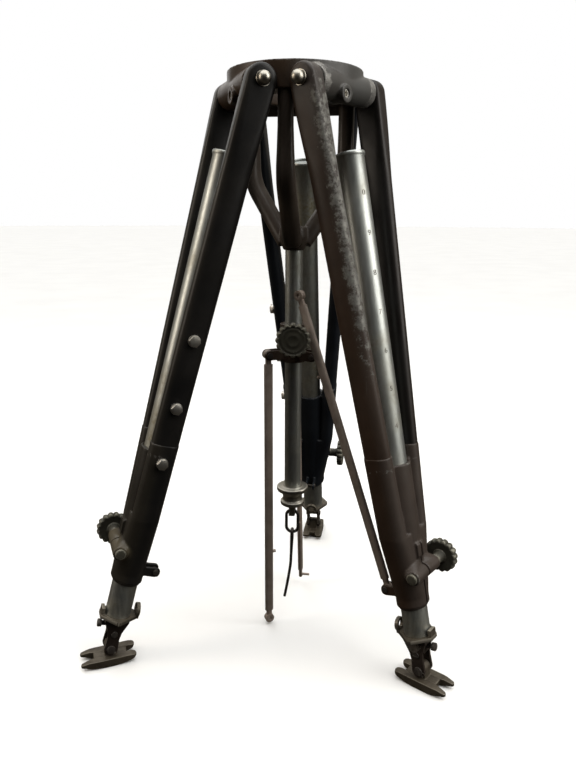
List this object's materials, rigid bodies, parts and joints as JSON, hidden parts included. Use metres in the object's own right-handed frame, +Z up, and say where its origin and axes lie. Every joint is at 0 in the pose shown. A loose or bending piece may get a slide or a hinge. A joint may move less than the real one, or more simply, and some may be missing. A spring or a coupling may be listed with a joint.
{
  "type": "studio camera tripod",
  "caption": "Heavy-duty studio camera tripod with a ring head, sliding inner legs, claw feet, a centre column with a sliding collar, spreader struts and a hanging weight hook.",
  "frame": {"origin": "centre of the head ring's flat top face, at the mouth of its bore", "axes": "+Z up along the head's bore and the centre column, +Y towards the back leg, right leg 30 degrees below +X, left leg 30 degrees below -X"},
  "size_m": [0.5316, 0.5119, 0.804],
  "materials": {
    "paint_head": "worn brown-grey enamel on cast alloy",
    "paint_right": "worn brown enamel on alloy",
    "paint_left": "worn satin black enamel on alloy",
    "paint_back": "satin blue-black enamel on alloy",
    "chrome_tube": "polished",
    "bright_steel": "polished",
    "knob_metal": "satin olive-grey enamel",
    "strut_alloy": "matte",
    "foot_steel": "worn bare metal",
    "foot_iron": "worn dark brown enamel",
    "dark_steel": "dark oiled steel"
  },
  "bodies": {
    "stand": {"head_ring": "paint_head", "drag_screws": "bright_steel", "cage": "paint_head", "column_tube": "chrome_tube", "column_foot": "bright_steel"},
    "leg_right": {"right_hinge_shaft": "bright_steel", "right_dome_nuts": "bright_steel", "right_outer_tube_a": "paint_right", "right_outer_tube_b": "paint_right", "right_casting": "paint_right", "right_side_screws": "bright_steel", "right_bracket_pin": "dark_steel"},
    "inner_right": {"right_inner_tube": "chrome_tube", "right_spur_plate": "foot_steel", "right_yoke": "foot_iron", "right_yoke_pins": "dark_steel"},
    "foot_right": {"right_claw_foot": "foot_steel"},
    "knob_right": {"right_clamp_knob": "knob_metal"},
    "leg_left": {"left_hinge_shaft": "bright_steel", "left_dome_nuts": "bright_steel", "left_outer_tube_a": "paint_left", "left_outer_tube_b": "paint_left", "left_casting": "paint_left", "left_side_screws": "bright_steel", "left_bracket_pin": "dark_steel"},
    "inner_left": {"left_inner_tube": "chrome_tube", "left_spur_plate": "foot_steel", "left_yoke": "foot_iron", "left_yoke_pins": "dark_steel"},
    "foot_left": {"left_claw_foot": "foot_steel"},
    "knob_left": {"left_clamp_knob": "knob_metal"},
    "leg_back": {"back_hinge_shaft": "bright_steel", "back_dome_nuts": "bright_steel", "back_outer_tube_a": "paint_back", "back_outer_tube_b": "paint_back", "back_casting": "paint_back", "back_side_screws": "bright_steel", "back_bracket_pin": "dark_steel"},
    "inner_back": {"back_inner_tube": "chrome_tube", "back_spur_plate": "foot_steel", "back_yoke": "foot_iron", "back_yoke_pins": "dark_steel"},
    "foot_back": {"back_claw_foot": "foot_steel"},
    "knob_back": {"back_clamp_knob": "knob_metal"},
    "collar": {"collar": "paint_head", "collar_pins": "dark_steel"},
    "collar_knob": {"collar_knob": "knob_metal"},
    "strut_left": {"strut_left": "strut_alloy"},
    "strut_back": {"strut_back": "strut_alloy"},
    "strut_loose": {"strut_loose": "strut_alloy"},
    "link": {"link": "dark_steel"},
    "hook": {"hook": "dark_steel"}
  },
  "joints": [
    {"name": "leg_right_splay", "type": "hinge", "parent": "stand", "child": "leg_right", "pos_m": [0.06149, -0.0355, -0.024], "axis": [-0.5, -0.866, 0], "range_deg": [-7, 18]},
    {"name": "leg_right_extend", "type": "slide", "parent": "leg_right", "child": "inner_right", "axis": [0.1801, -0.104, -0.9781], "range_m": [-0.02, 0.38]},
    {"name": "foot_right_tilt", "type": "hinge", "parent": "inner_right", "child": "foot_right", "pos_m": [0.20065, -0.11585, -0.78], "axis": [0.5, 0.866, 0], "range_deg": [-30, 30]},
    {"name": "clamp_right_turn", "type": "hinge", "parent": "leg_right", "child": "knob_right", "pos_m": [0.19371, -0.11184, -0.63358], "axis": [0.5, 0.866, 0], "range_deg": [0, 360]},
    {"name": "leg_left_splay", "type": "hinge", "parent": "stand", "child": "leg_left", "pos_m": [-0.06149, -0.0355, -0.024], "axis": [-0.5, 0.866, 0], "range_deg": [-10.6, 14.4]},
    {"name": "leg_left_extend", "type": "slide", "parent": "leg_left", "child": "inner_left", "axis": [-0.2329, -0.1345, -0.9632], "range_m": [-0.02, 0.38]},
    {"name": "foot_left_tilt", "type": "hinge", "parent": "inner_left", "child": "foot_left", "pos_m": [-0.24429, -0.14104, -0.78], "axis": [0.5, -0.866, 0], "range_deg": [-30, 30]},
    {"name": "clamp_left_turn", "type": "hinge", "parent": "leg_left", "child": "knob_left", "pos_m": [-0.22659, -0.13082, -0.62279], "axis": [0.5, -0.866, 0], "range_deg": [0, 360]},
    {"name": "leg_back_splay", "type": "hinge", "parent": "stand", "child": "leg_back", "pos_m": [0, 0.071, -0.024], "axis": [1, 0, 0], "range_deg": [-9.5, 13.5]},
    {"name": "leg_back_extend", "type": "slide", "parent": "leg_back", "child": "inner_back", "axis": [0, 0.284, -0.9588], "range_m": [-0.02, 0.38]},
    {"name": "foot_back_tilt", "type": "hinge", "parent": "inner_back", "child": "foot_back", "pos_m": [0, 0.29494, -0.78], "axis": [-1, 0, 0], "range_deg": [-30, 30]},
    {"name": "clamp_back_turn", "type": "hinge", "parent": "leg_back", "child": "knob_back", "pos_m": [0, 0.27103, -0.61972], "axis": [-1, 0, 0], "range_deg": [0, 360]},
    {"name": "collar_slide", "type": "slide", "parent": "stand", "child": "collar", "axis": [0, 0, 1], "range_m": [-0.15, 0.025]},
    {"name": "collar_knob_turn", "type": "hinge", "parent": "collar", "child": "collar_knob", "pos_m": [0, 0, -0.34], "axis": [0.1392, -0.9903, 0], "range_deg": [0, 360]},
    {"name": "strut_left_swing", "type": "hinge", "parent": "collar", "child": "strut_left", "pos_m": [-0.03291, -0.019, -0.369], "axis": [-0.5, 0.866, 0], "range_deg": [-1, 24]},
    {"name": "strut_back_swing", "type": "hinge", "parent": "collar", "child": "strut_back", "pos_m": [0, 0.038, -0.369], "axis": [1, 0, 0], "range_deg": [-9, 14]},
    {"name": "strut_loose_lean", "type": "hinge", "parent": "leg_right", "child": "strut_loose", "pos_m": [0.14868, -0.08584, -0.68041], "axis": [-0.5, -0.866, 0], "range_deg": [-4.1, 10.5]},
    {"name": "link_swing", "type": "hinge", "parent": "stand", "child": "link", "pos_m": [0, 0, -0.615], "axis": [1, 0, 0], "range_deg": [-25, 25]},
    {"name": "hook_swing", "type": "hinge", "parent": "link", "child": "hook", "pos_m": [0, 0, -0.6514], "axis": [1, 0, 0], "range_deg": [-40, 40]}
  ],
  "couplings": [
    {"joint": "strut_loose_lean", "follows": "leg_right_splay", "ratio": 0.58}
  ]
}
